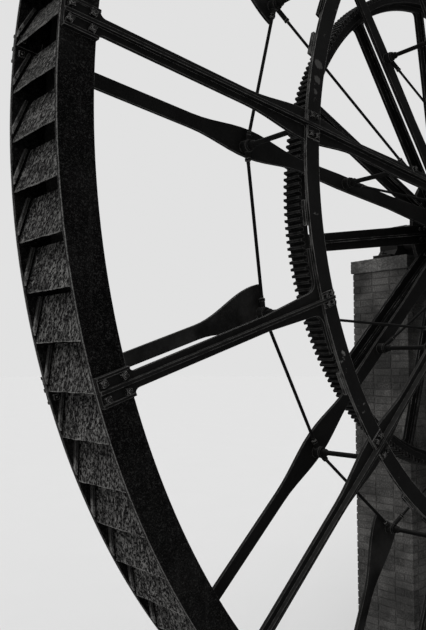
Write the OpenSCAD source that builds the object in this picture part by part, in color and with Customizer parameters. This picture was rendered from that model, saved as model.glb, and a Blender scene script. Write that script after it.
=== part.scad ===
// Cast-iron mill wheel with elbow buckets of iron plate, a spur gear on the
// same axle, and the masonry piers and plummer blocks that carry it.
// The axle runs along Y, the side with the ring of curved castings faces -Y,
// and the origin is on the pit floor under the middle of the axle.

/* [Wheel] */
// Radius over the shrouds and the bucket lips
wheel_r = 5486; // [5300:1:5700]
// Width over the two shrouds
wheel_w = 576; // [500:1:700]
// Height of the wheel's lowest point above the pit floor
pit_clearance = 154; // [80:1:300]
// Angle of the first long arm above the left horizontal
first_arm_angle = 4.2; // [0:0.1:20]

/* [Rim] */
// Radial depth of the shroud plates
shroud_depth = 236; // [210:1:280]
// Thickness of a shroud plate
shroud_t = 24; // [16:1:34]
// Thickness of the sole plates that close the buckets inside
sole_t = 14; // [8:1:30]
// Thickness of a bucket's outer plate
plate_t = 6; // [5:1:12]
// Thickness of a bucket's riser plate
riser_t = 6; // [5:1:12]
// Radial depth at which outer plate and riser meet
elbow_depth = 120; // [90:1:130]
// Width along the axle of the cast cleat in front of each plate's end
cleat_w = 22; // [14:1:32]
// Thickness of a cleat
cleat_t = 18; // [8:1:22]
// Gap between a cleat and the plate behind it
cleat_gap = 20; // [8:1:26]
// Gap between neighbouring castings of the rim and of the gear
seam = 0.6; // [0.4:0.1:2]

/* [Arms] */
// Thickness of the web of an arm
arm_t = 26; // [18:1:34]
// Width of an arm next to its palm
arm_w_rim = 104; // [84:1:120]
// Width of an arm at its two necks, outside and inside the ring
arm_w_neck = 112; // [96:1:130]
// Width of a long arm where the ring joins it
arm_w_ring = 236; // [200:1:260]
// Distance along a long arm over which it swells to that width
arm_swell = 630; // [500:1:700]
// Width of a near short arm where it runs into its head
arm_w_head = 178; // [150:1:190]
// Width of the foot in which a far short arm ends
foot_w = 380; // [300:1:420]
// Distance along a far short arm over which it swells to that foot
foot_swell = 700; // [500:1:760]
// Width of a long arm at its inner strut
arm_w_strut = 142; // [124:1:170]
// Width of a long arm halfway between its inner strut and the hub
arm_w_inner = 136; // [120:1:170]
// Width of a long arm at its root on the hub
arm_w_root = 192; // [176:1:230]
// Width of the palm that is bolted to the shroud
palm_w = 180; // [150:1:220]
// Width of the raised borders of a palm
palm_border_w = 18; // [12:1:26]
// Height of the raised borders of a palm
palm_border_h = 10; // [6:1:16]
// Thickness of an arm's rib
rib_t = 22; // [14:1:30]
// Height of an arm's rib at the ring
rib_h = 48; // [34:1:60]

/* [Ring and rods] */
// Radius of the outer edge of the cast ring
ring_r = 3440; // [3300:1:3600]
// Radial width of the cast ring
ring_depth = 148; // [120:1:170]
// Thickness of the ring's castings
ring_t = 24; // [16:1:32]
// Length along the ring of the head by which a short arm carries it
head_l = 820; // [600:1:900]
// Height of that head beyond the ring's outer edge
head_lip = 20; // [10:1:40]
// Radius of the fillets between a short arm and its head
head_fillet = 90; // [60:1:120]
// Length along the ring of the lug behind the middle of each casting
lug_l = 190; // [140:1:240]
// Gap between a casting of the ring and the rib of an arm
ring_gap = 2; // [1:0.5:6]
// Distance that a ring casting's raised end pad reaches from the middle of a long arm
long_pad = 105; // [80:1:140]
// Distance that a ring casting's raised end pad reaches from the middle of a short arm
short_pad = 60; // [50:1:120]
// Height of those pads
pad_h = 8; // [4:1:12]
// Radius of the outer row of cross struts
ring_node_r = 3480; // [3460:1:3560]
// Distance of those struts from the middle line of their arms, towards the bay below
ring_node_aside = 45; // [0:1:60]
// Radius of the inner row of cross struts
inner_node_r = 2130; // [2000:1:2300]
// Radius of the eyes in which the outer diagonals end on the near long arms
eye_r = 1940; // [1900:1:1960]
// Distance of those eyes from the middle line of their arms, towards the bay above
eye_aside = 60; // [44:1:64]
// Diameter of those eyes
eye_d = 56; // [48:1:64]
// Diameter of the cross struts
strut_d = 42; // [36:1:52]
// Diameter of the tie rods between the far arms
tie_d = 28; // [20:1:34]
// Diameter of the diagonal rods
diagonal_d = 24; // [18:1:30]
// Diameter of the bosses that the struts and rods run into
node_d = 100; // [92:1:120]
// Height of those bosses on the face of an arm
node_h = 60; // [50:1:70]

/* [Hubs and axle] */
// Diameter of the axle between the hubs
axle_d = 320; // [280:1:360]
// Diameter of the journals
journal_d = 200; // [170:1:230]
// Diameter of a wheel hub's flange
hub_flange_d = 1300; // [1200:1:1400]
// Thickness of a hub's flange
hub_flange_t = 34; // [26:1:44]
// Diameter of a hub's boss
hub_boss_d = 580; // [520:1:600]
// Length of the axle's free tail beyond the near bearing
tail_l = 90; // [60:1:200]
// Distance from the middle of the wheel to the middle of each bearing
bearing_y = 1060; // [1050:1:1200]

/* [Spur gear] */
// Radius over the tips of the gear's teeth
gear_r = 2705; // [2600:1:2800]
// Face width of the gear
gear_w = 180; // [140:1:190]
// Height of a tooth
tooth_h = 42; // [30:1:50]
// Radial thickness of the rim under the teeth
gear_rim_t = 60; // [44:1:76]
// Radial height of the rib inside the rim
gear_rib_h = 56; // [40:1:70]
// Width of a gear arm at the rim
gear_arm_w_rim = 165; // [130:1:180]
// Width of a gear arm at its root
gear_arm_w_root = 204; // [170:1:210]
// Thickness of a gear arm's web
gear_arm_t = 32; // [24:1:40]
// Gap between the far arms and the gear
gear_gap = 10; // [6:1:30]

/* [Piers and bearings] */
// Width of a pier across the axle
pier_x = 900; // [800:1:1200]
// Depth of a pier along the axle
pier_y = 750; // [700:1:770]
// Height of the footing course
footing_h = 420; // [300:1:600]
// Step of the footing beyond the pier on each side across the axle
footing_step = 120; // [60:1:200]
// Thickness of a capstone
cap_t = 160; // [100:1:220]
// Height of the axle's centre above the capstone
bearing_h = 280; // [250:1:340]
// Length of a bearing along the axle
bearing_l = 240; // [200:1:280]
// Thickness of a bearing brass
brass_t = 26; // [18:1:34]
// Diameter of the bearing bolts
bearing_bolt_d = 36; // [28:1:44]
// Radial clearance of a journal in its brasses
journal_clearance = 0.1; // [0.04:0.01:0.1]

/* [Hidden] */
$fn = 64;
ROUND = 240;

BAYS = 16;
BUCKETS_PER_BAY = 7;
GEAR_ARMS = 12;
HEAD_STEPS = 8;
SWELL_STEPS = 12;
TEETH_PER_SEGMENT = 22;
bay_angle = 360 / BAYS;
bucket_angle = bay_angle / BUCKETS_PER_BAY;
gear_angle = 360 / GEAR_ARMS;
tooth_angle = gear_angle / TEETH_PER_SEGMENT;
gear_phase = 20;

hub_z = wheel_r + pit_clearance;
shroud_in = wheel_r - shroud_depth;
half_w = wheel_w / 2;
inside_w = wheel_w - 2 * shroud_t;
sole_r = shroud_in + sole_t;
seat = 0.1;

ring_in = ring_r - ring_depth;
ring_face = half_w + arm_t;
head_r = ring_r + head_lip;
butt = rib_t / 2 + ring_gap;
swell_r = ring_r - 20;
foot_r = ring_node_r - node_d / 2 - 4;
node_aside_angle = atan(ring_node_aside / ring_node_r);
node_polar_r = norm([ring_node_r, ring_node_aside]);
eye_angle = atan(eye_aside / eye_r);
eye_polar_r = norm([eye_r, eye_aside]);
eye_z = half_w - 20;
eye_h = 46;
eye_proud = 12;
fillet_r = (palm_w - arm_w_rim) / 2;
palm_end = wheel_r - 8;
hub_flange_r = hub_flange_d / 2;
hub_boss_r = hub_boss_d / 2;
arm_root_r = hub_boss_r + 12;
node_z = half_w - node_h / 2;
strut_collar_d = 2.1 * strut_d;
tie_socket_d = 1.6 * tie_d;
diagonal_socket_d = 1.7 * diagonal_d;
socket_l = node_d / 2 + 46;
long_socket_l = node_d / 2 + 100;
eye_socket_l = 110;
hub_eye_r = hub_flange_r - 60;
hub_eye_l = 60;
hub_boss_l = 140;
hub_boss_end = ring_face + rib_h + 4;

gear_near = ring_face + rib_h + gear_gap;
gear_mid = gear_near + gear_w / 2;
gear_root_r = gear_r - tooth_h;
gear_rim_in = gear_root_r - gear_rim_t;
gear_eye_r = gear_rim_in - gear_rib_h;
gear_arm_root_r = 400;
gear_fillet_r = 55;
gear_hub_end = gear_near + gear_w + 90;

bearing_z = hub_z - bearing_h;
brass_r = journal_d / 2 + brass_t;
collar_d = journal_d + 40;
collar_l = 30;
journal_l = bearing_l + 20;

// Moves a wheel drawn round the Z axis onto the axle: its +Z becomes -Y
module on_axle() translate([0, 0, hub_z]) rotate([90, 0, 0]) children();

// Turns a piece drawn along +X to bay i, counted upwards from the first arm
module at_bay(i) rotate([0, 0, 180 - first_arm_angle - i * bay_angle]) children();

// Draws a piece of the near side on the far side
module far_side() mirror([0, 0, 1]) children();

// Draws an outline given as radius and height above the middle plane
module fin(points, t) rotate([90, 0, 0]) translate([0, 0, -t / 2]) linear_extrude(t) polygon(points);

// Points a piece drawn along +Z from one point to another
module aim(from, to) {
    d = to - from;
    translate(from) rotate([0, acos(d[2] / norm(d)), atan2(d[1], d[0])]) children();
}

// A round bar between two points that stops short of both
module bar(from, to, d, short_from, short_to) {
    aim(from, to) translate([0, 0, short_from])
        cylinder(d = d, h = norm(to - from) - short_from - short_to);
}

function turned(r, a) = [r * cos(a), r * sin(a)];
function polar(r, a, z) = [r * cos(a), r * sin(a), z];
function mirrored(side) = concat(side, [for (i = [len(side) - 1:-1:0]) [side[i][0], -side[i][1]]]);

// Masonry

module footing(y) {
    color("dimgray") translate([-pier_x / 2 - footing_step, y - pier_y / 2, 0])
        cube([pier_x + 2 * footing_step, pier_y, footing_h]);
}

module pier(y) {
    color("gray") translate([-pier_x / 2, y - pier_y / 2, footing_h])
        cube([pier_x, pier_y, bearing_z - cap_t - footing_h]);
}

module capstone(y) {
    overhang = 20;
    color("darkgray") translate([-pier_x / 2 - overhang, y - pier_y / 2 - overhang, bearing_z - cap_t])
        cube([pier_x + 2 * overhang, pier_y + 2 * overhang, cap_t]);
}

// Bearings

cheek_x = brass_r + 110;
foot_x = cheek_x + 150;
foot_t = 46;
bolt_x = brass_r + 78;
lid_t = 56;

module bearing_base(y) {
    color("#2e2d2c") translate([0, y, bearing_z]) difference() {
        union() {
            translate([-foot_x, -bearing_l / 2, 0]) cube([2 * foot_x, bearing_l, foot_t]);
            rotate([90, 0, 0]) translate([0, 0, -bearing_l / 2]) linear_extrude(bearing_l)
                polygon([[-cheek_x - 60, foot_t], [cheek_x + 60, foot_t], [cheek_x, foot_t + 70],
                    [cheek_x, bearing_h - 2], [-cheek_x, bearing_h - 2], [-cheek_x, foot_t + 70]]);
        }
        translate([0, 0, bearing_h]) rotate([90, 0, 0])
            cylinder(r = brass_r + seat, h = 2 * bearing_l, center = true);
        for (x = [-foot_x + 50, foot_x - 50])
            translate([x, 0, -1]) cylinder(d = bearing_bolt_d, h = foot_t + 2);
    }
}

module bearing_cap(y) {
    color("#343231") translate([0, y, hub_z]) difference() {
        union() {
            rotate([90, 0, 0]) cylinder(r = brass_r + 40, h = bearing_l, center = true);
            translate([-cheek_x, -bearing_l / 2, 0]) cube([2 * cheek_x, bearing_l, lid_t]);
        }
        translate([-2 * cheek_x, -bearing_l, -2 * cheek_x + 2])
            cube([4 * cheek_x, 2 * bearing_l, 2 * cheek_x]);
        rotate([90, 0, 0]) cylinder(r = brass_r + seat, h = 2 * bearing_l, center = true);
        for (x = [-1, 1], s = [-1, 1])
            translate([x * bolt_x, s * bearing_l / 3.2, -1]) cylinder(d = bearing_bolt_d + 1, h = lid_t + 2);
    }
}

module bearing_brasses(y) {
    color("darkgoldenrod") translate([0, y, hub_z]) for (side = [0, 180]) rotate([0, side, 0])
        difference() {
            rotate([90, 0, 0]) cylinder(r = brass_r, h = bearing_l, center = true);
            rotate([90, 0, 0])
                cylinder(r = journal_d / 2 + journal_clearance, h = bearing_l + 2, center = true);
            translate([-brass_r - 1, -bearing_l, -2 * brass_r + 1])
                cube([2 * brass_r + 2, 2 * bearing_l, 2 * brass_r]);
        }
}

module bearing_bolts(y) {
    color("#3a3836") translate([0, y, hub_z]) for (x = [-1, 1], s = [-1, 1])
        translate([x * bolt_x, s * bearing_l / 3.2, 0]) {
            translate([0, 0, 2]) cylinder(d = bearing_bolt_d, h = lid_t + 60);
            translate([0, 0, lid_t]) cylinder(d = 1.75 * bearing_bolt_d, h = 30, $fn = 6);
        }
}

// Axle and hubs

module axle() {
    near_end = bearing_y + journal_l / 2 + collar_l + tail_l;
    far_end = bearing_y + journal_l / 2 + collar_l;
    color("#2b2b2b") on_axle() {
        translate([0, 0, -(bearing_y - journal_l / 2)])
            cylinder(d = axle_d, h = 2 * bearing_y - journal_l, $fn = 96);
        translate([0, 0, -far_end]) cylinder(d = journal_d, h = far_end + near_end, $fn = 96);
        translate([0, 0, bearing_y + journal_l / 2]) cylinder(d = collar_d, h = collar_l);
        translate([0, 0, -far_end]) cylinder(d = collar_d, h = collar_l);
    }
}

module hub() {
    difference() {
        union() {
            translate([0, 0, half_w - hub_flange_t]) cylinder(r = hub_flange_r, h = hub_flange_t, $fn = 96);
            translate([0, 0, half_w - hub_boss_l])
                cylinder(r = hub_boss_r, h = hub_boss_end - half_w + hub_boss_l, $fn = 96);
        }
        cylinder(d = axle_d, h = 2 * half_w + 200, $fn = 96);
    }
}

// Where an inner diagonal leaves the near hub, and where it meets a far long arm
hub_eye = [hub_eye_r, 0, half_w - hub_flange_t - 16];
inner_node_far = [inner_node_r, 0, -node_z];

module near_hub() {
    color("#2d2b2a") on_axle() {
        hub();
        for (i = [0:2:BAYS - 1]) at_bay(i) aim(hub_eye, inner_node_far)
            translate([0, 0, -20]) cylinder(d = diagonal_socket_d, h = hub_eye_l + 20);
    }
}

module far_hub() { color("#2d2b2a") on_axle() far_side() hub(); }

// Arms

function quarter(c, r) = [for (a = [0:15:90]) c + r * [sin(a), -cos(a)]];

// Part of an arm's outline from radius r0 outwards: it swells from the neck's width to w at radius
// mid, over the given reach, and ends at the outer neck
function swell(r0, w, mid, reach) = [for (k = [0:SWELL_STEPS])
    let (r = r0 + (mid + reach - r0) * k / SWELL_STEPS)
        [r, arm_w_neck / 2 + (w - arm_w_neck) / 4 * (1 + cos(180 * (r - mid) / reach))]];

// Half of the outline of an arm's end with its palm
palm_half = concat(quarter([shroud_in - fillet_r, palm_w / 2], fillet_r), [[palm_end, palm_w / 2]]);

long_half = concat(
    [[arm_root_r, arm_w_root / 2], [hub_flange_r, arm_w_root / 2],
     [(inner_node_r + hub_flange_r) / 2, arm_w_inner / 2],
     [inner_node_r - node_d, arm_w_strut / 2], [inner_node_r + node_d, arm_w_strut / 2]],
    swell(swell_r - arm_swell, arm_w_ring, swell_r, arm_swell), palm_half);

far_short_half = concat(swell(foot_r, foot_w, ring_node_r, foot_swell), palm_half);

// A near short arm runs in a fillet into the head that carries the ring
head_y = arm_w_head / 2 + head_fillet;
head_x = sqrt(pow(head_r, 2) - pow(head_y, 2));
head_angle = head_l / head_r * 90 / PI;
near_short_half = concat(
    [for (k = [1:HEAD_STEPS]) turned(ring_in, head_angle * k / HEAD_STEPS)],
    [for (k = [HEAD_STEPS:-1:1]) let (p = turned(head_r, head_angle * k / HEAD_STEPS))
        if (p[1] > head_y + 5) p],
    [for (a = [0:15:90]) [head_x, head_y] + head_fillet * [1 - cos(a), -sin(a)]],
    [[swell_r + arm_swell, arm_w_neck / 2]],
    palm_half);

// The web, the rib, the outer strut's boss and the palm's raised borders of an arm whose rib
// starts at radius r0
module arm(half, r0) {
    top = ring_face;
    translate([0, 0, half_w]) linear_extrude(arm_t) polygon(mirrored(half));
    fin([[r0, top - 1], [r0, top + rib_h * 0.8], [ring_r, top + rib_h],
         [shroud_in - 80, top + rib_h * 0.5], [palm_end, top + rib_h * 0.3], [palm_end, top - 1]], rib_t);
    translate([ring_node_r, ring_node_aside, half_w - node_h]) cylinder(d = node_d, h = node_h + 1);
    for (y = [-palm_w / 2, palm_w / 2 - palm_border_w])
        translate([shroud_in, y, half_w]) cube([palm_end - shroud_in, palm_border_w, arm_t + palm_border_h]);
}

// A stretch of the ring's circle, drawn across the X axis
module ring_band(l, r0, r1, z0, z1) {
    half = l / ring_r * 90 / PI;
    rotate([0, 0, -half]) rotate_extrude(angle = 2 * half, $fn = ROUND)
        translate([r0, z0]) square([r1 - r0, z1 - z0]);
}

// The seat at a point of the far side that is left free for the end of a cross strut
module strut_seat(r, aside) {
    translate([r, aside, node_h - half_w]) cylinder(d = strut_collar_d + 2, h = half_w);
}

// Where the outer strut of the bay n bays above meets its far arm
function ring_node_far(n) = polar(node_polar_r, node_aside_angle - n * bay_angle, -node_z);

// The middle of the eye on the near long arm n bays above
function near_eye(n) = polar(eye_polar_r, -eye_angle - n * bay_angle, eye_z);

module inner_boss() translate([inner_node_r, 0, half_w - node_h]) cylinder(d = node_d, h = node_h + 1);

// The eye goes through the web of its arm and stands out on both faces
module eye() {
    translate([eye_r, -eye_aside, half_w - eye_h]) cylinder(d = eye_d, h = eye_h + arm_t + eye_proud);
    aim(near_eye(0), ring_node_far(1)) cylinder(d = diagonal_socket_d, h = eye_socket_l);
}

module near_long_arm() {
    arm(long_half, arm_root_r);
    inner_boss();
    eye();
}

module near_short_arm() { arm(near_short_half, ring_in + 4); }

// The sockets on a far arm into which the two tie rods of its bay run
module tie_sockets() {
    for (s = [-1, 1]) translate(ring_node_far(0))
        rotate([0, 0, node_aside_angle + s * (90 + bay_angle / 2)])
        rotate([0, 90, 0]) cylinder(d = tie_socket_d, h = socket_l);
}

module far_long_arm() {
    far_side() {
        arm(long_half, arm_root_r);
        inner_boss();
    }
    tie_sockets();
    difference() {
        aim(inner_node_far, hub_eye) cylinder(d = diagonal_socket_d, h = long_socket_l);
        strut_seat(inner_node_r, 0);
    }
}

module far_short_arm() {
    far_side() arm(far_short_half, foot_r);
    tie_sockets();
    difference() {
        aim(ring_node_far(0), near_eye(-1)) cylinder(d = diagonal_socket_d, h = long_socket_l);
        strut_seat(ring_node_r, ring_node_aside);
    }
}

module near_long_arms() { color("#2a2929") on_axle() for (i = [0:2:BAYS - 1]) at_bay(i) near_long_arm(); }
module near_short_arms() { color("#2a2929") on_axle() for (i = [1:2:BAYS - 1]) at_bay(i) near_short_arm(); }
module far_long_arms() { color("#262525") on_axle() for (i = [0:2:BAYS - 1]) at_bay(i) far_long_arm(); }
module far_short_arms() { color("#262525") on_axle() for (i = [1:2:BAYS - 1]) at_bay(i) far_short_arm(); }

// Ring, struts and rods

// The raised pad at one end of a ring casting, on the given side of its arm
module end_pad(side, l) {
    intersection() {
        ring_band(4 * l, ring_in + 6, ring_r - 6, ring_face + ring_t - 1, ring_face + ring_t + pad_h);
        translate([ring_in, side > 0 ? butt : -l, ring_face]) cube([ring_depth, l - butt, wheel_w]);
    }
}

// One casting of the ring: its ends lap onto the faces of two arms, and butt against their ribs
module ring_casting(first_pad, last_pad) {
    difference() {
        bay_arc(ring_in, ring_r, ring_face, ring_face + ring_t);
        for (a = [0, -bay_angle]) rotate([0, 0, a])
            translate([ring_in - 50, -butt, 0]) cube([ring_depth + 100, 2 * butt, wheel_w]);
    }
    rotate([0, 0, -bay_angle / 2]) ring_band(lug_l, ring_in, head_r, half_w, ring_face + 1);
    end_pad(-1, first_pad);
    rotate([0, 0, -bay_angle]) end_pad(1, last_pad);
}

module near_ring() {
    color("#3b3a39") on_axle() for (i = [0:2:BAYS - 1]) {
        at_bay(i) ring_casting(long_pad, short_pad);
        at_bay(i + 1) ring_casting(short_pad, long_pad);
    }
}

module far_tie_rods() {
    color("#222222") on_axle() for (i = [0:BAYS - 1]) at_bay(i)
        bar(ring_node_far(0), ring_node_far(1), tie_d, socket_l, socket_l);
}

// A cross strut between the bosses of two arms, with a collar and a round knuckle at its far end
module strut(r, aside) {
    reach = half_w - node_h;
    collar_t = 18;
    translate([r, aside, -reach]) {
        cylinder(d = strut_d, h = 2 * reach);
        cylinder(d = strut_collar_d, h = collar_t);
        translate([0, 0, strut_d]) sphere(d = 1.6 * strut_d);
        translate([0, 0, 2 * reach - collar_t]) cylinder(d = strut_collar_d - 16, h = collar_t);
    }
}

module ring_struts() {
    color("#232222") on_axle() for (i = [0:BAYS - 1]) at_bay(i) strut(ring_node_r, ring_node_aside);
}

module inner_struts() {
    color("#232222") on_axle() for (i = [0:2:BAYS - 1]) at_bay(i) strut(inner_node_r, 0);
}

module outer_diagonals() {
    color("#222222") on_axle() for (i = [1:2:BAYS - 1]) at_bay(i)
        bar(ring_node_far(0), near_eye(-1), diagonal_d, long_socket_l, eye_socket_l);
}

module inner_diagonals() {
    color("#222222") on_axle() for (i = [0:2:BAYS - 1]) at_bay(i)
        bar(inner_node_far, hub_eye, diagonal_d, long_socket_l, hub_eye_l);
}

// Rim

// The curved casting of one bay, short by the seam at both ends together
module bay_arc(r0, r1, z0, z1) {
    spare = seam / r1 * 90 / PI;
    rotate([0, 0, spare - bay_angle]) rotate_extrude(angle = bay_angle - 2 * spare, $fn = ROUND)
        translate([r0, z0]) square([r1 - r0, z1 - z0]);
}

module shroud(first) {
    for (i = [first:2:BAYS - 1]) at_bay(i) bay_arc(shroud_in, wheel_r, half_w - shroud_t, half_w);
}

module near_shroud_a() { color("#353433") on_axle() shroud(0); }
module near_shroud_b() { color("#353433") on_axle() shroud(1); }
module far_shroud_a() { color("#302f2e") on_axle() far_side() shroud(0); }
module far_shroud_b() { color("#302f2e") on_axle() far_side() shroud(1); }

module sole(first) {
    color("#4a4744") on_axle() for (i = [first:2:BAYS - 1]) at_bay(i)
        bay_arc(shroud_in, sole_r, -inside_w / 2, inside_w / 2);
}

// Buckets: each has a lip on the rim and rises inwards to an elbow, and a riser
// runs from the elbow to the sole. Angles count from the lip towards the elbow.
elbow_share = 0.9;
elbow_angle = elbow_share * bucket_angle;

function on_rim(r, a) = [r * cos(a), -r * sin(a)];
function unit(v) = v / norm(v);
function cross2(a, b) = a[0] * b[1] - a[1] * b[0];
function meet(p, u, q, v) = p + u * cross2(q - p, v) / cross2(u, v);

lip = on_rim(wheel_r, 0);
elbow = on_rim(wheel_r - elbow_depth, elbow_angle);
slope = unit(elbow - lip);
under = [slope[1], -slope[0]];
inward = -on_rim(1, elbow_angle);
aside = [inward[1], -inward[0]];
elbow_under = elbow + plate_t * under;

module bucket_plate_outline() {
    polygon([lip, elbow, elbow_under, lip + plate_t * under]);
}

module riser_plate_outline() {
    front = elbow_under + riser_t * aside;
    front_top = meet(front, inward, elbow_under, slope);
    foot = inward * (norm(elbow_under) - sole_r - seat);
    polygon([elbow_under, front_top, front + foot, elbow_under + foot]);
}

// Distance from p along the direction u to the rim's circle
function to_rim(p, u) = let (b = p * u) -b - sqrt(b * b - p * p + pow(wheel_r - 1, 2));

// A cleat starts at the rim and ends beside the elbow
module cleat_outline() {
    a = lip - cleat_gap * under;
    b = lip - (cleat_gap + cleat_t) * under;
    l = norm(elbow - lip) - 12;
    polygon([a + to_rim(a, slope) * slope, a + l * slope, b + l * slope, b + to_rim(b, slope) * slope]);
}

// Every bucket position of the bays first, first + 2 and so on
module each_bucket(first, step) {
    on_axle() for (i = [first:step:BAYS - 1], k = [0:BUCKETS_PER_BAY - 1])
        at_bay(i + k / BUCKETS_PER_BAY) children();
}

module across() translate([0, 0, -inside_w / 2]) linear_extrude(inside_w) children();

module bucket_plates(first) { color("#8c8780") each_bucket(first, 2) across() bucket_plate_outline(); }
module riser_plates(first) { color("#7a756e") each_bucket(first, 2) across() riser_plate_outline(); }

module near_cleats() {
    color("#55524e") each_bucket(0, 1) translate([0, 0, inside_w / 2 - cleat_w]) linear_extrude(cleat_w)
        cleat_outline();
}

module far_cleats() {
    color("#55524e") each_bucket(0, 1) translate([0, 0, -inside_w / 2]) linear_extrude(cleat_w)
        cleat_outline();
}

// Spur gear

module at_gear(i) rotate([0, 0, 180 - gear_phase - i * gear_angle]) children();

// Outline of a toothed segment: each tooth stands between two root points and two tip points
gear_spare = seam / gear_r * 90 / PI;
root_half = 0.3 * tooth_angle;
tip_half = 0.17 * tooth_angle;

module toothed_outline() {
    first = -gear_angle / 2 + tooth_angle / 2;
    flank = [[gear_root_r, -root_half], [gear_r, -tip_half], [gear_r, tip_half], [gear_root_r, root_half]];
    points = [for (k = [0:TEETH_PER_SEGMENT - 1], f = flank)
        [f[0] * cos(first + k * tooth_angle + f[1]), f[0] * sin(first + k * tooth_angle + f[1])]];
    half = gear_angle / 2 - gear_spare;
    start = gear_root_r * [cos(half), -sin(half)];
    polygon(concat([[0, 0], start], points, [[start[0], -start[1]]]));
}

module gear_segment() {
    difference() {
        translate([0, 0, -gear_near - gear_w]) linear_extrude(gear_w) toothed_outline();
        translate([0, 0, -gear_near - gear_w - 1]) cylinder(r = gear_rim_in, h = gear_w + 2, $fn = ROUND);
    }
    rib_angle = gear_angle - 4 * gear_spare;
    rotate([0, 0, -rib_angle / 2]) rotate_extrude(angle = rib_angle, $fn = ROUND)
        translate([gear_eye_r, -gear_mid - gear_arm_t / 2]) square([gear_rib_h + 2, gear_arm_t]);
}

module gear_rim(first) {
    color("#252423") on_axle() for (i = [first:2:GEAR_ARMS - 1]) at_gear(i) gear_segment();
}

// A tapered gear arm that flares into fillets where it meets the rim
gear_arm_half = concat(
    [[gear_arm_root_r, gear_arm_w_root / 2], [hub_flange_r, gear_arm_w_root / 2]],
    quarter([gear_eye_r - gear_fillet_r, gear_arm_w_rim / 2 + gear_fillet_r], gear_fillet_r),
    [[gear_eye_r + 20, gear_arm_w_rim / 2 + gear_fillet_r]]);

module gear_arm() {
    intersection() {
        union() {
            translate([0, 0, -gear_mid - gear_arm_t / 2]) linear_extrude(gear_arm_t)
                polygon(mirrored(gear_arm_half));
            fin([[gear_arm_root_r, -gear_mid], [gear_arm_root_r, -gear_mid + 60],
                 [gear_eye_r + 20, -gear_mid + 46], [gear_eye_r + 20, -gear_mid]], rib_t);
        }
        translate([0, 0, -gear_near - gear_w]) cylinder(r = gear_eye_r, h = gear_w, $fn = ROUND);
    }
}

module gear_arms() { color("#242322") on_axle() for (i = [0:GEAR_ARMS - 1]) at_gear(i) gear_arm(); }

module gear_hub() {
    color("#2b2a29") on_axle() difference() {
        union() {
            translate([0, 0, -gear_mid - gear_arm_t / 2 - hub_flange_t])
                cylinder(r = hub_flange_r, h = hub_flange_t, $fn = 96);
            translate([0, 0, -gear_hub_end])
                cylinder(r = hub_boss_r, h = gear_hub_end - hub_boss_end - 2, $fn = 96);
        }
        translate([0, 0, -gear_hub_end - 1]) cylinder(d = axle_d, h = gear_hub_end, $fn = 96);
    }
}

footing(-bearing_y);  // near_footing
pier(-bearing_y);  // near_pier
capstone(-bearing_y);  // near_capstone
bearing_base(-bearing_y);  // near_bearing_base
bearing_brasses(-bearing_y);  // near_bearing_brasses
bearing_cap(-bearing_y);  // near_bearing_cap
bearing_bolts(-bearing_y);  // near_bearing_bolts
footing(bearing_y);  // far_footing
pier(bearing_y);  // far_pier
capstone(bearing_y);  // far_capstone
bearing_base(bearing_y);  // far_bearing_base
bearing_brasses(bearing_y);  // far_bearing_brasses
bearing_cap(bearing_y);  // far_bearing_cap
bearing_bolts(bearing_y);  // far_bearing_bolts
axle();
near_hub();
far_hub();
gear_hub();
near_long_arms();
near_short_arms();
far_long_arms();
far_short_arms();
near_ring();
far_tie_rods();
ring_struts();
inner_struts();
outer_diagonals();
inner_diagonals();
near_shroud_a();
near_shroud_b();
far_shroud_a();
far_shroud_b();
sole(0);  // sole_a
sole(1);  // sole_b
bucket_plates(0);  // bucket_plates_a
bucket_plates(1);  // bucket_plates_b
riser_plates(0);  // riser_plates_a
riser_plates(1);  // riser_plates_b
near_cleats();
far_cleats();
gear_rim(0);  // gear_rim_a
gear_rim(1);  // gear_rim_b
gear_arms();
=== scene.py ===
import math
import random

import bmesh
import bpy
from mathutils import Matrix, Vector


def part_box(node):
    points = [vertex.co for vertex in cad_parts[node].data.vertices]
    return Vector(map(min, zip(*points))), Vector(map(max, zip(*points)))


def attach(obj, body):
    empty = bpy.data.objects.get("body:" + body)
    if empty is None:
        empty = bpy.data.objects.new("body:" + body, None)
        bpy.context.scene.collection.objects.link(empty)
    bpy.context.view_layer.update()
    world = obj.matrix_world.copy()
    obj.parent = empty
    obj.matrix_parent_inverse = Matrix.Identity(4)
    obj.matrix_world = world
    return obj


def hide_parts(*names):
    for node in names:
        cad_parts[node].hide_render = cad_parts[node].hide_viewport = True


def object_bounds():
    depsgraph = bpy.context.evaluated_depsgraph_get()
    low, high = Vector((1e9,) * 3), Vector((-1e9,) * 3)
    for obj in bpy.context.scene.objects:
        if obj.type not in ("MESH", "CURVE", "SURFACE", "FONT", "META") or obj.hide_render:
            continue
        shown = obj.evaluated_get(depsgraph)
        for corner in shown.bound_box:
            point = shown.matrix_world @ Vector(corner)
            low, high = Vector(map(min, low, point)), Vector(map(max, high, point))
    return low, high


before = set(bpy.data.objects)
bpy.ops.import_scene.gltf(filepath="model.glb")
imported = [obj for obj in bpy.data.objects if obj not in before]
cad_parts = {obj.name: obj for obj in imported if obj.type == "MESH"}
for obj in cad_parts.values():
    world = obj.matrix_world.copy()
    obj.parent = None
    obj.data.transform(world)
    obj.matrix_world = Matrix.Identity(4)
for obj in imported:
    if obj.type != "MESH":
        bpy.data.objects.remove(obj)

cad_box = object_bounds()

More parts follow.
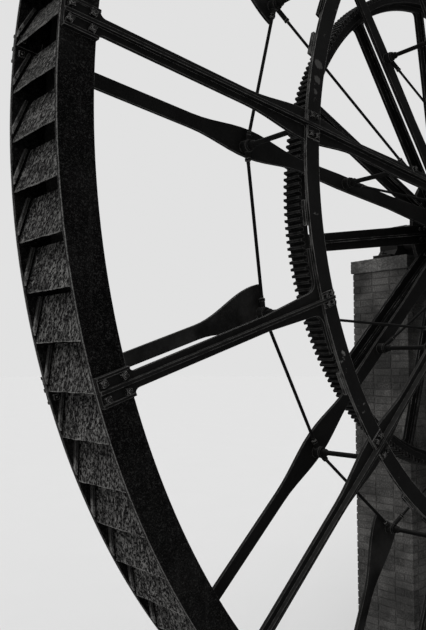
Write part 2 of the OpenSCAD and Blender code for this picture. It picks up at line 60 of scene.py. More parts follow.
# View and light
# The wheel is seen from low down outside its rim, a little to the left of the axle.
# Soft daylight comes from above on the open left side, so that the faces that look along
# the axle stay dark and the bucket plates are light. A weaker light fills the far side.
EYE = (-7.242, -3.503, 4.077)
EYE_YAW = math.radians(42.12)
EYE_PITCH = math.radians(4.33)
LENS = 38.33
SENSOR = 36
LAMPS = {"daylight": ((-0.72, -0.12, 0.68), 1.9, 55), "fill": ((0.52, 0.80, 0.30), 1.1, 70)}
SKY_LIGHT = 0.5
BACKDROP_TONE = 0.76
FLOOR_TONES = ((0.74, 0.74, 0.74), (0.76, 0.76, 0.76))
FLOOR_RADIUS = 260
FLOOR_SIDES = 96
FLOOR_DROP = 0.003


def new_object(name, data):
    """A new object, linked into the scene."""
    made = bpy.data.objects.new(name, data)
    bpy.context.scene.collection.objects.link(made)
    return made


camera = new_object("camera", bpy.data.cameras.new("camera"))
camera.data.lens = LENS
camera.data.sensor_width = SENSOR
camera.location = EYE
camera.rotation_euler = (math.pi / 2 + EYE_PITCH, 0, -EYE_YAW)
bpy.context.scene.camera = camera
bpy.context.scene.view_settings.view_transform = "Standard"

for name, (comes_from, strength, softness) in LAMPS.items():
    lamp = new_object(name, bpy.data.lights.new(name, "SUN"))
    lamp.data.energy = strength
    lamp.data.angle = math.radians(softness)
    lamp.rotation_euler = Vector(comes_from).to_track_quat("Z", "Y").to_euler()


class Paint:
    """A value, colour or vector of a finish, on which sums are written as on a number."""

    def __init__(self, tree, socket=None):
        self.tree = tree
        self.socket = socket

    def node(self, kind, settings, inputs, out=0):
        """Adds one node: its settings first, then the values or links of its sockets."""
        made = self.tree.nodes.new(kind)
        for name, value in settings.items():
            setattr(made, name, value)
        for name, value in inputs.items():
            if isinstance(value, Paint):
                self.tree.links.new(value.socket, made.inputs[name])
            else:
                made.inputs[name].default_value = value
        return Paint(self.tree, made.outputs[out] if made.outputs else None)

    def maths(self, operation, first, second=0.0):
        return self.node("ShaderNodeMath", {"operation": operation}, {0: first, 1: second})

    def __add__(self, other):
        return self.maths("ADD", self, other)

    def __radd__(self, other):
        return self.maths("ADD", other, self)

    def __sub__(self, other):
        return self.maths("SUBTRACT", self, other)

    def __rsub__(self, other):
        return self.maths("SUBTRACT", other, self)

    def __mul__(self, other):
        return self.maths("MULTIPLY", self, other)

    def __rmul__(self, other):
        return self.maths("MULTIPLY", other, self)

    def unsigned(self):
        """The value without its sign."""
        return self.maths("ABSOLUTE", self)

    def larger(self, other):
        """The larger of the two at each point."""
        return self.maths("MAXIMUM", self, other)

    def band(self, low, high):
        """0 below low, 1 above high and a soft step between them."""
        inputs = {"Value": self, "From Min": low, "From Max": high}
        return self.node("ShaderNodeMapRange", {"interpolation_type": "SMOOTHSTEP"}, inputs)

    def between(self, off, on):
        """The colour off where this mask is 0, and the colour on where it is 1."""
        inputs = {0: self, 6: (*off, 1), 7: (*on, 1)}
        return self.node("ShaderNodeMix", {"data_type": "RGBA"}, inputs, 2)

    def place(self):
        """Where the painted point is in the frame."""
        return self.node("ShaderNodeTexCoord", {}, {}, "Object")

    def facing(self):
        """The way the surface faces."""
        return self.node("ShaderNodeNewGeometry", {}, {}, "Normal")

    def note(self):
        """The note that a piece of this script keeps for each of its points."""
        return self.node("ShaderNodeAttribute", {"attribute_name": "notes"}, {}, "Vector")

    def part(self, axis):
        """The X, Y or Z of this vector."""
        return self.node("ShaderNodeSeparateXYZ", {}, {"Vector": self}, axis)

    def stretched(self, x, y, z):
        """This place with its three parts multiplied, so that a pattern is drawn out."""
        return self.node("ShaderNodeVectorMath", {"operation": "MULTIPLY"}, {0: self, 1: (x, y, z)})

    def distance(self, point):
        return self.node("ShaderNodeVectorMath", {"operation": "DISTANCE"}, {0: self, 1: point}, "Value")

    def noise(self, scale, detail=5.0, roughness=0.6):
        inputs = {"Vector": self, "Scale": scale, "Detail": detail, "Roughness": roughness}
        return self.node("ShaderNodeTexNoise", {}, inputs)

    def cells(self, scale):
        """Distance to the nearest of many scattered points."""
        return self.node("ShaderNodeTexVoronoi", {}, {"Vector": self, "Scale": scale})


sky = bpy.data.worlds.new("sky")
sky.use_nodes = True
sky.node_tree.nodes.clear()
air = Paint(sky.node_tree)
seen = air.node("ShaderNodeLightPath", {}, {}, "Is Camera Ray")
mirrored = air.node("ShaderNodeLightPath", {}, {}, "Is Glossy Ray")
through_glass = air.node("ShaderNodeLightPath", {}, {}, "Is Transmission Ray")
lighting = air.node("ShaderNodeBackground", {}, {"Color": (1, 1, 1, 1), "Strength": SKY_LIGHT})
backdrop = air.node("ShaderNodeBackground", {}, {"Color": (1, 1, 1, 1), "Strength": BACKDROP_TONE})
shown = seen + mirrored + through_glass
both = air.node("ShaderNodeMixShader", {}, {0: shown, 1: lighting, 2: backdrop})
air.node("ShaderNodeOutputWorld", {}, {"Surface": both})
bpy.context.scene.world = sky


def new_finish(name):
    """An empty material and the Paint that adds nodes to it."""
    material = bpy.data.materials.new(name)
    material.use_nodes = True
    material.node_tree.nodes.clear()
    return material, Paint(material.node_tree)


def coat(paint, colour, roughness, height, depth, specular, metallic=0.0):
    """Ends a finish: colour, gloss, and a relief that is depth metres deep where height is 1."""
    relief = paint.node("ShaderNodeBump", {}, {"Strength": 1.0, "Distance": depth, "Height": height})
    inputs = {"Base Color": colour, "Roughness": roughness, "Metallic": metallic,
              "Specular IOR Level": specular, "Normal": relief}
    shader = paint.node("ShaderNodeBsdfPrincipled", {}, inputs)
    paint.node("ShaderNodeOutputMaterial", {}, {"Surface": shader})


floor_finish, floor_paint = new_finish("studio_floor")
floor_place = floor_paint.place()
coat(floor_paint, floor_place.noise(0.6).between(*FLOOR_TONES), 1.0, floor_place.noise(40), 0.0003,
     specular=0.0)
floor_mesh = bpy.data.meshes.new("floor")
floor_edge = []
for corner in range(FLOOR_SIDES):
    turn = math.tau * corner / FLOOR_SIDES
    floor_edge.append((FLOOR_RADIUS * math.cos(turn), FLOOR_RADIUS * math.sin(turn), -FLOOR_DROP))
floor_mesh.from_pydata(floor_edge, [], [list(range(FLOOR_SIDES))])
floor_mesh.materials.append(floor_finish)
floor = new_object("floor", floor_mesh)

# Bucket plates
# Each of the 112 buckets has an outer plate of rolled iron, 6 mm thick, that rises from its
# lip on the rim inwards to the elbow. A century of wet and dry has left thick scaly rust,
# streaks down the slope, and lips that are bent and eaten thin.
BAYS = 16
BAY_ANGLE = 360 / BAYS
FIRST_ARM_ANGLE = 4.2
PLATES_PER_BAY = 7
PLATE_T = 0.006
PLATE_COLUMNS = 22
PLATE_ROWS = (0.0, 0.015, 0.04, 0.09, 0.18, 0.32, 0.5, 0.68, 0.85, 1.0)
PLATE_SEED = 100
PATTERN_STEP = 0.37
PATTERN_SPREAD = 50
WAVE_SHARES = (0.55, 0.3, 0.15)
WAVE_GROWTH = 1.7
CREASE = math.radians(32)
axle_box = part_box("axle")
HUB_Z = (axle_box[0].z + axle_box[1].z) / 2
RIM_RADIUS = cad_box[1][2] - HUB_Z
near_rim_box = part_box("near_shroud_a")
RIM_HALF = -near_rim_box[0].y
SHROUD_T = near_rim_box[1].y - near_rim_box[0].y
INSIDE_HALF = RIM_HALF - SHROUD_T


def at_bay(bay):
    """Carries (outward, towards the bay below, in front of the wheel's middle) into the frame."""
    turn = math.radians(180 - FIRST_ARM_ANGLE - bay * BAY_ANGLE)
    outward = (math.cos(turn), 0, math.sin(turn))
    downward = (-math.sin(turn), 0, math.cos(turn))
    place = Matrix((outward, downward, (0, -1, 0))).transposed().to_4x4()
    place.translation = (0, 0, HUB_Z)
    return place


def add_mesh(name, body, slot, finish, points, faces, notes):
    """Makes one piece of closed shapes, which rides on a body of the frame."""
    mesh = bpy.data.meshes.new(name)
    mesh.from_pydata(points, [], faces)
    work = bmesh.new()
    work.from_mesh(mesh)
    bmesh.ops.recalc_face_normals(work, faces=work.faces)
    work.to_mesh(mesh)
    work.free()
    for face in mesh.polygons:
        face.use_smooth = True
    mesh.set_sharp_from_angle(angle=CREASE)
    layer = mesh.attributes.new("notes", "FLOAT_VECTOR", "POINT")
    layer.data.foreach_set("vector", [number for note in notes for number in note])
    mesh.materials.append(finish)
    piece = new_object(name, mesh)
    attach(piece, body)
    return piece


def joined(shapes):
    """Many shapes, each of points, faces and notes, as one."""
    points, faces, notes = [], [], []
    for shape in shapes:
        start = len(points)
        points += shape[0]
        faces += [[start + n for n in face] for face in shape[1]]
        notes += shape[2]
    return points, faces, notes


def wave(rng, width, waves):
    """A gentle random line over a width, from 0 to 1."""
    swings = [(rng.uniform(*waves) * (1 + WAVE_GROWTH * step), rng.uniform(0, math.tau), share)
              for step, share in enumerate(WAVE_SHARES)]
    return lambda x: 0.5 + 0.5 * sum(share * math.sin(math.tau * count * x / width + phase)
                                     for count, phase, share in swings)


ELBOW_DEPTH = 0.120
ELBOW_SHARE = 0.9
ELBOW_RADIUS = RIM_RADIUS - ELBOW_DEPTH
ELBOW_TURN = -math.radians(ELBOW_SHARE * BAY_ANGLE / PLATES_PER_BAY)
LIP = Vector((RIM_RADIUS, 0))
ELBOW = Vector((ELBOW_RADIUS * math.cos(ELBOW_TURN), ELBOW_RADIUS * math.sin(ELBOW_TURN)))
SLOPE_LENGTH = (ELBOW - LIP).length
SLOPE = (ELBOW - LIP).normalized()
INTO_WHEEL = Vector((SLOPE.y, -SLOPE.x))
LIP_BEND = 0.006
BEND_REACH = 0.22
BEND_WAVES = (0.4, 1.1)
LIP_LOSS = 0.006
LOSS_REACH = 0.2
LOSS_WAVES = (0.8, 2.4)
BELLY = 0.004
BELLY_SPREAD = (0.2, 1.0)


def bent_plate(rng, place, number):
    """One plate with its own bends: its points, faces and notes of place on the plate."""
    width = 2 * INSIDE_HALF
    bend = wave(rng, width, BEND_WAVES)
    loss = wave(rng, width, LOSS_WAVES)
    belly = rng.uniform(*BELLY_SPREAD) * BELLY
    offset = rng.uniform(-PATTERN_SPREAD, PATTERN_SPREAD)
    points, faces, notes = [], [], []
    for thickness in (0.0, PLATE_T):
        for share in PLATE_ROWS:
            for column in range(PLATE_COLUMNS + 1):
                across = -INSIDE_HALF + width * column / PLATE_COLUMNS
                start = LIP_LOSS * loss(across) * max(0.0, 1 - share / LOSS_REACH)
                down = start + share * SLOPE_LENGTH
                inward = LIP_BEND * bend(across) * math.exp(-share / BEND_REACH) * (1 - share)
                inward += belly * math.sin(math.pi * share) * math.cos(math.pi * across / width)
                flat = LIP + SLOPE * down + INTO_WHEEL * (inward + thickness)
                points.append(place @ Vector((flat.x, flat.y, across)))
                notes.append((across + offset, down, number * PATTERN_STEP))
    row = PLATE_COLUMNS + 1
    last = len(PLATE_ROWS) - 1
    inside = row * len(PLATE_ROWS)
    for r in range(last):
        for c in range(PLATE_COLUMNS):
            corner = r * row + c
            quad = [corner, corner + 1, corner + row + 1, corner + row]
            faces.append(quad)
            faces.append([inside + n for n in reversed(quad)])
    edge = list(range(row)) + [r * row + PLATE_COLUMNS for r in range(1, last + 1)]
    edge += [last * row + c for c in range(PLATE_COLUMNS - 1, -1, -1)]
    edge += [r * row for r in range(last - 1, 0, -1)]
    for here, there in zip(edge, edge[1:] + edge[:1]):
        faces.append([here, there, inside + there, inside + here])
    return points, faces, notes


def scaly_rust(name, dark, light):
    """Dry rust in scales and round pits, with streaks down the slope and a bright thin lip."""
    finish, paint = new_finish(name)
    note = paint.note()
    streak = note.stretched(44, 6, 1).noise(1.0, 4, 0.65)
    patch = note.noise(7, 5, 0.6)
    scale = note.stretched(58, 32, 1).noise(1.0, 4, 0.68)
    speck = note.noise(100, 2, 0.6)
    pit = 1 - note.cells(40).band(0.28, 0.37)
    pinhole = 1 - note.stretched(1, 0.8, 1).cells(60).band(0.20, 0.34)
    chip = note.stretched(70, 26, 1).noise(1.0, 2, 0.5).band(0.68, 0.72)
    lip = 1 - note.part("Y").band(0.002, 0.010)
    level = 0.015 + 0.46 * scale.band(0.46, 0.56) + 0.16 * speck.band(0.48, 0.58)
    level = level * (0.42 + 0.8 * streak.band(0.40, 0.62) + 0.5 * patch.band(0.35, 0.68))
    level = level * (1 - 0.96 * pit) * (1 - 0.75 * pinhole)
    level = level.larger(0.9 * chip).larger(lip * scale.band(0.36, 0.50))
    relief = 0.5 * scale + 0.35 * speck + 0.3 * patch - 0.6 * pit - 0.3 * pinhole + 0.3 * chip
    coat(paint, level.between(dark, light), 0.92, relief, 0.008, specular=0.06)
    return finish


plate_rust = scaly_rust("plate_rust", dark=(0.0015, 0.0015, 0.0015), light=(0.154, 0.152, 0.147))
for group, first in (("a", 0), ("b", 1)):
    bent_plates = []
    for bay in range(first, BAYS, 2):
        for step in range(PLATES_PER_BAY):
            number = bay * PLATES_PER_BAY + step
            place = at_bay(bay + step / PLATES_PER_BAY)
            bent_plates.append(bent_plate(random.Random(PLATE_SEED + number), place, number))
    plates = add_mesh("bucket_plates_rusted_" + group, "wheel", "bucket_iron", plate_rust,
                      *joined(bent_plates))
    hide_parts("bucket_plates_" + group)


# Riser plates and soles
# The inner plates of the buckets are rolled iron too. They stay wet longest, so their rust
# is darker and softer, with tide lines round the axle.
def wet_rust(name, dark, light):
    """Soft dark rust in patches, with tide lines."""
    finish, paint = new_finish(name)
    place = paint.place()
    patch = place.noise(5, 6, 0.65)
    scale = place.noise(40, 7, 0.72)
    tide = place.stretched(1, 9, 1).noise(3, 4, 0.6)
    level = 0.2 + 0.6 * patch.band(0.35, 0.7) * scale.band(0.3, 0.65) + 0.3 * tide.band(0.5, 0.75)
    relief = 0.6 * scale + 0.4 * patch
    coat(paint, level.between(dark, light), 0.90 - 0.1 * patch, relief, 0.004, specular=0.1)
    return finish


def dress(finish, *nodes):
    """Gives nodes of the frame their finish."""
    for node in nodes:
        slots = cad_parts[node].data.materials
        slots.clear()
        slots.append(finish)


inner_rust = wet_rust("inner_rust", dark=(0.003, 0.003, 0.0029), light=(0.046, 0.045, 0.043))
dress(inner_rust, "riser_plates_a", "riser_plates_b", "sole_a", "sole_b")


# Shrouds
# The sides of the rim are cast-iron plates, a bay long each, that butt under the palms of
# the arms. Their faces are nearly black with coarse pitted rust, their edges are worn light
# in places, and the outer face of the rim is painted lighter, most along its corner.
def edge_wear(paint, width):
    """1 along the sharp edges of a piece, within about width metres of them."""
    rounded = paint.node("ShaderNodeBevel", {"samples": 6}, {"Radius": width})
    sides = {0: rounded, 1: paint.facing()}
    match = paint.node("ShaderNodeVectorMath", {"operation": "DOT_PRODUCT"}, sides, "Value")
    return (1 - match).band(0.015, 0.16)


def radius_from_axle(place):
    """Distance of the painted point from the axle's middle line."""
    return place.stretched(1, 0, 1).distance((0, 0, HUB_Z))


def pitted_iron(name, dark, light, edge_level):
    """Coarse rust under old black paint, with light grains and worn edges, lighter on the rim's outer
    face.
    """
    finish, paint = new_finish(name)
    place = paint.place()
    cloud = place.noise(1.6, 5, 0.6)
    mottle = place.noise(20, 6, 0.7)
    grain = place.noise(70, 5, 0.8)
    spark = place.noise(150, 3, 0.8)
    drip = place.stretched(14, 14, 1.6).noise(1.0, 4, 0.6)
    wear = edge_wear(paint, 0.006) * mottle.band(0.34, 0.6)
    level = 0.02 * cloud.band(0.4, 0.7) + 0.11 * grain.band(0.50, 0.62) * mottle.band(0.35, 0.6)
    level = level + 0.13 * spark.band(0.56, 0.66) + 0.03 * drip.band(0.55, 0.75)
    level = level.larger(edge_level * wear)
    # Painted lighter: the rim's outer face, most near its outer corner.
    outer_face = radius_from_axle(place).band(RIM_RADIUS - 0.003, RIM_RADIUS - 0.0005)
    corner = place.part("Y").unsigned().band(RIM_HALF - 0.015, RIM_HALF - 0.009)
    level = level.larger(outer_face * (0.05 + 0.62 * corner * grain.band(0.40, 0.56)))
    coat(paint, level.between(dark, light), 0.97, 0.6 * grain + 0.4 * mottle, 0.007, specular=0.03)
    return finish


shroud_iron = pitted_iron("shroud_iron", dark=(0.0006, 0.0006, 0.0006), light=(0.160, 0.158, 0.154),
                          edge_level=0.75)
dress(shroud_iron, "near_shroud_a", "near_shroud_b", "far_shroud_a", "far_shroud_b")


# Cleats
# In front of each plate's end a strip is cast on the shroud. The strips are dry and scraped,
# lighter than the shroud, with a black gap between strip and plate.
def dry_iron(name, dark, light):
    """Dry rust on a casting, with scraped edges and a bright knob at the lip."""
    finish, paint = new_finish(name)
    place = paint.place()
    mottle = place.noise(24, 6, 0.7)
    grain = place.noise(110, 5, 0.75)
    wear = edge_wear(paint, 0.005)
    knob = radius_from_axle(place).band(RIM_RADIUS - 0.040, RIM_RADIUS - 0.022) * mottle.band(0.38, 0.56)
    level = 0.02 + 0.10 * mottle.band(0.35, 0.65) + 0.14 * grain.band(0.44, 0.66)
    level = level.larger(0.62 * wear * grain.band(0.30, 0.50)).larger(0.85 * knob * grain.band(0.4, 0.5))
    coat(paint, level.between(dark, light), 0.9, 0.5 * grain + 0.5 * mottle, 0.004, specular=0.1)
    return finish


cleat_iron = dry_iron("cleat_iron", dark=(0.002, 0.002, 0.0019), light=(0.150, 0.148, 0.144))
dress(cleat_iron, "near_cleats", "far_cleats")

# Arms
# Sixteen arms a side, cast with a flat web, a rib on each face and a palm that is bolted
# through the shroud with four square nuts. Old black paint, thin and dusty, has worn off
# along every edge, and the wide feet of the far short arms are painted lighter.
ARM_T = 0.026
ARM_FACE = RIM_HALF + ARM_T
FAR_SIDE = Matrix.Scale(-1, 4, (0, 0, 1))
PALM_BOLT_DEPTHS = (0.186, 0.042)
PALM_BOLT_OFFSET = 0.048
PALM_NUT_ACROSS = 0.040
PALM_NUT_TURN = 0.5
LIGHTER_FOOT_RADII = (3.25, 3.60)
BLACK = (0, 0, 0)
BARE_IRON = (0.40, 0.393, 0.382)
CHAMFER_SHARE = 0.09
BOLT_SIDES = 10
BOLT_ROOT = 0.004
BOLT_ROUNDING = 0.22
GREASE_GAP = 0.0005
WASHER_SIDES = 20
WASHER_T = 0.005
WASHER_TAPER = 0.97
WASHER_ROUNDING = 0.0012


def shape_of(work):
    """Points and faces of a finished mesh, kept for copying."""
    work.verts.index_update()
    points = [vert.co.copy() for vert in work.verts]
    faces = [[vert.index for vert in face.verts] for face in work.faces]
    work.free()
    return points, faces


def drum(sides, radius, bottom, top, rounding, turn=0.0, taper=1.0, round_end=False):
    """A closed drum or prism between two heights, chamfered all over or rounded at its top."""
    work = bmesh.new()
    middle = (bottom + top) / 2
    place = Matrix.Translation((0, 0, middle)) @ Matrix.Rotation(turn, 4, "Z")
    bmesh.ops.create_cone(work, cap_ends=True, segments=sides, radius1=radius,
                          radius2=radius * taper, depth=top - bottom, matrix=place)
    edges = list(work.edges)
    if round_end:
        edges = [edge for edge in edges if all(vert.co.z > middle for vert in edge.verts)]
    bmesh.ops.bevel(work, geom=edges, offset=rounding, segments=2 if round_end else 1,
                    affect="EDGES")
    return shape_of(work)


def nut_shape(sides, across, height, bolt_d, bolt_out, washer=0.0):
    """A chamfered nut standing on its face, with the greasy round end of its bolt."""
    corner_radius = across / 2 / math.cos(math.pi / sides)
    drums = [drum(sides, corner_radius, 0, height, CHAMFER_SHARE * across, turn=math.pi / sides),
             drum(BOLT_SIDES, bolt_d / 2, height - BOLT_ROOT, height + bolt_out,
                  BOLT_ROUNDING * bolt_d, round_end=True)]
    if washer:
        drums.append(drum(WASHER_SIDES, washer, 0, WASHER_T, WASHER_ROUNDING, taper=WASHER_TAPER))
    shapes = []
    for points, faces in drums:
        greasy = [(float(point.z > height + GREASE_GAP), 0, 0) for point in points]
        shapes.append((points, faces, greasy))
    return joined(shapes)


def copies(shape, places):
    """A copy of the shape at each place, all joined."""
    points, faces, notes = shape
    return joined(([place @ point for point in points], faces, notes) for place in places)


def painted_iron(name, tone, dust, edge_level, grain_scale=75, edge_width=0.008, marks=None):
    """Old black paint over a casting: dusty patches, broken bright edges, and marks of its own."""
    finish, paint = new_finish(name)
    greasy = paint.note().part("X")
    place = paint.place()
    up = paint.facing().part("Z")
    cloud = place.noise(2.1, 5, 0.6)
    mottle = place.noise(15, 6, 0.68)
    grain = place.noise(grain_scale, 6, 0.75)
    spark = place.noise(170, 3, 0.8)
    wear = edge_wear(paint, edge_width) * (0.25 + 0.75 * mottle.band(0.34, 0.58)) * (1 - 0.85 * greasy)
    rough = grain.band(0.42, 0.7) * mottle.band(0.35, 0.65)
    level = tone * (0.45 + 0.5 * cloud.band(0.3, 0.7) + 0.9 * rough + 0.8 * spark.band(0.6, 0.78))
    level = level + dust * up.band(0.2, 0.9) * (0.4 + 0.9 * mottle)
    level = level.larger(edge_level * wear * (0.5 + 0.7 * grain))
    if marks:
        level = marks(level, place)
    roughness = 0.80 - 0.15 * cloud + 0.15 * mottle
    coat(paint, level.between(BLACK, BARE_IRON), roughness, 0.55 * grain + 0.6 * mottle, 0.003,
         specular=0.06)
    return finish


def lighter_feet(level, place):
    """The wide feet of the far short arms, painted lighter in patches."""
    lightening = (0.3 + 0.9 * place.noise(15, 6, 0.68)) * place.noise(2.1, 5, 0.6).band(0.35, 0.6)
    return level + 0.035 * radius_from_axle(place).band(*LIGHTER_FOOT_RADII) * lightening


arm_iron = painted_iron("arm_iron", tone=0.012, dust=0.04, edge_level=0.28)
far_foot_iron = painted_iron("far_foot_iron", tone=0.012, dust=0.04, edge_level=0.28, marks=lighter_feet)
dress(arm_iron, "near_long_arms", "near_short_arms", "far_long_arms")
dress(far_foot_iron, "far_short_arms")

# The nuts' edges are painted nearly bright all round: partly worn edges, partly a painted highlight where
# light catches them.
nut_iron = painted_iron("nut_iron", tone=0.008, dust=0.03, edge_level=0.95, grain_scale=160,
                        edge_width=0.005)
palm_nut = nut_shape(4, PALM_NUT_ACROSS, height=0.028, bolt_d=0.020, bolt_out=0.008)
palm_head = nut_shape(4, PALM_NUT_ACROSS, height=0.016, bolt_d=0.010, bolt_out=0.002)
about_face = Matrix.Rotation(math.pi, 4, "X")
for side, mirror, seed in (("near", Matrix(), 7), ("far", FAR_SIDE, 8)):
    rng = random.Random(seed)
    nuts, heads = [], []
    for bay in range(BAYS):
        for radius in [RIM_RADIUS - depth for depth in PALM_BOLT_DEPTHS]:
            for offset in (-PALM_BOLT_OFFSET, PALM_BOLT_OFFSET):
                spin = Matrix.Rotation(rng.uniform(-PALM_NUT_TURN, PALM_NUT_TURN), 4, "Z")
                seat = at_bay(bay) @ mirror @ Matrix.Translation((radius, offset, ARM_FACE))
                inner = at_bay(bay) @ mirror @ Matrix.Translation((radius, offset, INSIDE_HALF))
                nuts.append(seat @ spin)
                heads.append(inner @ about_face)
    add_mesh(side + "_palm_nuts", "wheel", "bolt_iron", nut_iron, *copies(palm_nut, nuts))
    add_mesh(side + "_palm_bolt_heads", "wheel", "bolt_iron", nut_iron, *copies(palm_head, heads))

# Ring
# The ring between the near arms is made of sixteen flat castings that lap onto the arms.
# Two bolts with square nuts hold each end. Its paint has come off in pale scabs, and along
# its outer edge patches of painted highlight stand for the sky lighting it.
RING_OUTER = 3.440
RING_WIDTH = 0.148
RING_T = 0.024
PAD_T = 0.008
RING_FACE = ARM_FACE + RING_T
PAD_FACE = RING_FACE + PAD_T
INNER_BOLT_EDGE = 0.050
OUTER_BOLT_EDGE = 0.034
RING_BOLT_RADII = (RING_OUTER - RING_WIDTH + INNER_BOLT_EDGE, RING_OUTER - OUTER_BOLT_EDGE)
RING_BOLT_OFFSETS = {"long arm": 0.074, "short arm": 0.036}
RING_NUT_TURN = 0.6
RING_NUT_SEED = 21
SCABS = ((0.385, 3.375, 0.040), (0.290, 3.362, 0.034), (0.210, 3.361, 0.020))


def scabs_and_sky_light(level, place):
    """Small random scabs, three placed above the first arm, and a painted sky highlight on the outer
    edge.
    """
    grain = place.noise(75, 6, 0.75)
    ragged = 0.09 * place.noise(15, 6, 0.68)
    scab = place.noise(7.5, 8, 0.66).band(0.64, 0.68) * grain.band(0.36, 0.50)
    level = level.larger(0.25 * scab)
    for bay, radius, size in SCABS:
        middle = at_bay(bay) @ Vector((radius, 0, RING_FACE))
        spot = 1 - (place.distance(middle) + ragged).band(size + 0.038, size + 0.048)
        level = level.larger(0.125 * spot * (0.4 + 0.9 * grain))
    # Painted highlight: patches of sky light along the ring's outer face.
    edge = radius_from_axle(place).band(RING_OUTER - 0.002, RING_OUTER - 0.0005)
    sky_lit_patches = place.noise(6, 5, 0.6).band(0.40, 0.60) * grain.band(0.3, 0.5)
    return level.larger(0.14 * edge * sky_lit_patches)


ring_iron = painted_iron("ring_iron", tone=0.009, dust=0.04, edge_level=0.58, edge_width=0.007,
                         marks=scabs_and_sky_light)
dress(ring_iron, "near_ring")
ring_nut = nut_shape(4, across=0.038, height=0.024, bolt_d=0.020, bolt_out=0.010)
ring_places = []
rng = random.Random(RING_NUT_SEED)
for bay in range(BAYS):
    spread = RING_BOLT_OFFSETS["short arm" if bay % 2 else "long arm"]
    for radius in RING_BOLT_RADII:
        for offset in (-spread, spread):
            spin = Matrix.Rotation(rng.uniform(-RING_NUT_TURN, RING_NUT_TURN), 4, "Z")
            ring_places.append(at_bay(bay) @ Matrix.Translation((radius, offset, PAD_FACE)) @ spin)
add_mesh("ring_nuts", "wheel", "bolt_iron", nut_iron, *copies(ring_nut, ring_places))

# Struts and rods
# Round wrought struts and rods brace the two sides of the wheel. The rods are screwed into
# sockets on the arms and hubs, and a lock nut stands at the mouth of each socket.
TIE_D = 0.028
DIAGONAL_D = 0.024
THREAD_OVER_ROD = 0.003
OUTER_NODE = Vector((3.480, 0.045, -0.258))
INNER_NODE = Vector((2.130, 0, -0.258))
EYE_ON_ARM = Vector((1.940, -0.060, 0.268))
EYE_FACE = 0.326
HUB_EYE = Vector((0.590, 0, 0.238))
SOCKET = 0.096
LONG_SOCKET = 0.150
EYE_SOCKET = 0.110
HUB_SOCKET = 0.060


def along(start, end, distance):
    """A place at a distance from start, with its Z axis on the way to end."""
    way = (end - start).normalized()
    place = way.to_track_quat("Z", "X").to_matrix().to_4x4()
    place.translation = start + way * distance
    return place


rod_iron = painted_iron("rod_iron", tone=0.010, dust=0.04, edge_level=0.12, grain_scale=120)
dress(rod_iron, "far_tie_rods", "ring_struts", "inner_struts", "outer_diagonals", "inner_diagonals")
tie_nut = nut_shape(6, across=0.048, height=0.026, bolt_d=TIE_D + THREAD_OVER_ROD, bolt_out=0.030)
diagonal_nut = nut_shape(6, across=0.044, height=0.024, bolt_d=DIAGONAL_D + THREAD_OVER_ROD,
                         bolt_out=0.030)
eye_nut = nut_shape(6, across=0.046, height=0.026, bolt_d=0.024, bolt_out=0.012, washer=0.026)
tie_nuts, diagonal_nuts, eye_nuts = [], [], []
for bay in range(BAYS):
    here = at_bay(bay) @ OUTER_NODE
    above = at_bay(bay + 1) @ OUTER_NODE
    tie_nuts += [along(here, above, SOCKET), along(above, here, SOCKET)]
for bay in range(1, BAYS, 2):
    far_end = at_bay(bay) @ OUTER_NODE
    near_end = at_bay(bay - 1) @ EYE_ON_ARM
    diagonal_nuts += [along(far_end, near_end, LONG_SOCKET), along(near_end, far_end, EYE_SOCKET)]
for bay in range(0, BAYS, 2):
    far_end = at_bay(bay) @ INNER_NODE
    near_end = at_bay(bay) @ HUB_EYE
    diagonal_nuts += [along(far_end, near_end, LONG_SOCKET), along(near_end, far_end, HUB_SOCKET)]
    eye_nuts.append(at_bay(bay) @ Matrix.Translation((EYE_ON_ARM.x, EYE_ON_ARM.y, EYE_FACE)))
add_mesh("tie_rod_nuts", "wheel", "bolt_iron", nut_iron, *copies(tie_nut, tie_nuts))
add_mesh("diagonal_nuts", "wheel", "bolt_iron", nut_iron, *copies(diagonal_nut, diagonal_nuts))
add_mesh("eye_nuts", "wheel", "bolt_iron", nut_iron, *copies(eye_nut, eye_nuts))

# Hubs and axle
# Each hub is a flanged casting keyed to the axle, and the roots of the long arms are bolted
# to its flange. The axle is painted, and its journals are bright where they run.
HUB_BOLT_RADII = (0.40, 0.50, 0.60)
HUB_BOLT_OFFSET = 0.062
JOURNAL_RADIUS = 0.100
BRIGHT_STEEL = (0.9, 0.88, 0.85)


def turned_iron(name):
    """Black paint on the body of the axle, and fine bright turning marks on its journals."""
    finish, paint = new_finish(name)
    place = paint.place()
    bright = 1 - radius_from_axle(place).band(JOURNAL_RADIUS + 0.002, JOURNAL_RADIUS + 0.006)
    turning = place.stretched(1, 60, 1).noise(6, 4, 0.6)
    grain = place.noise(60, 6, 0.7)
    level = 0.02 * (0.6 + 0.8 * grain) + 0.45 * bright * (0.6 + 0.5 * turning)
    roughness = 0.75 - 0.45 * bright + 0.1 * turning
    coat(paint, level.between(BLACK, BRIGHT_STEEL), roughness, grain + 0.3 * turning, 0.0015,
         metallic=0.9 * bright, specular=0.4)
    return finish


dress(turned_iron("axle_iron"), "axle")
hub_iron = painted_iron("hub_iron", tone=0.020, dust=0.05, edge_level=0.28)
dress(hub_iron, "near_hub", "far_hub", "gear_hub")
hub_nut = nut_shape(4, across=0.048, height=0.034, bolt_d=0.028, bolt_out=0.016)
hub_places = []
for mirror in (Matrix(), FAR_SIDE):
    for bay in range(0, BAYS, 2):
        for radius in HUB_BOLT_RADII:
            for offset in (-HUB_BOLT_OFFSET, HUB_BOLT_OFFSET):
                spot = Matrix.Translation((radius, offset, ARM_FACE))
                hub_places.append(at_bay(bay) @ mirror @ spot)
add_mesh("hub_nuts", "wheel", "bolt_iron", nut_iron, *copies(hub_nut, hub_places))

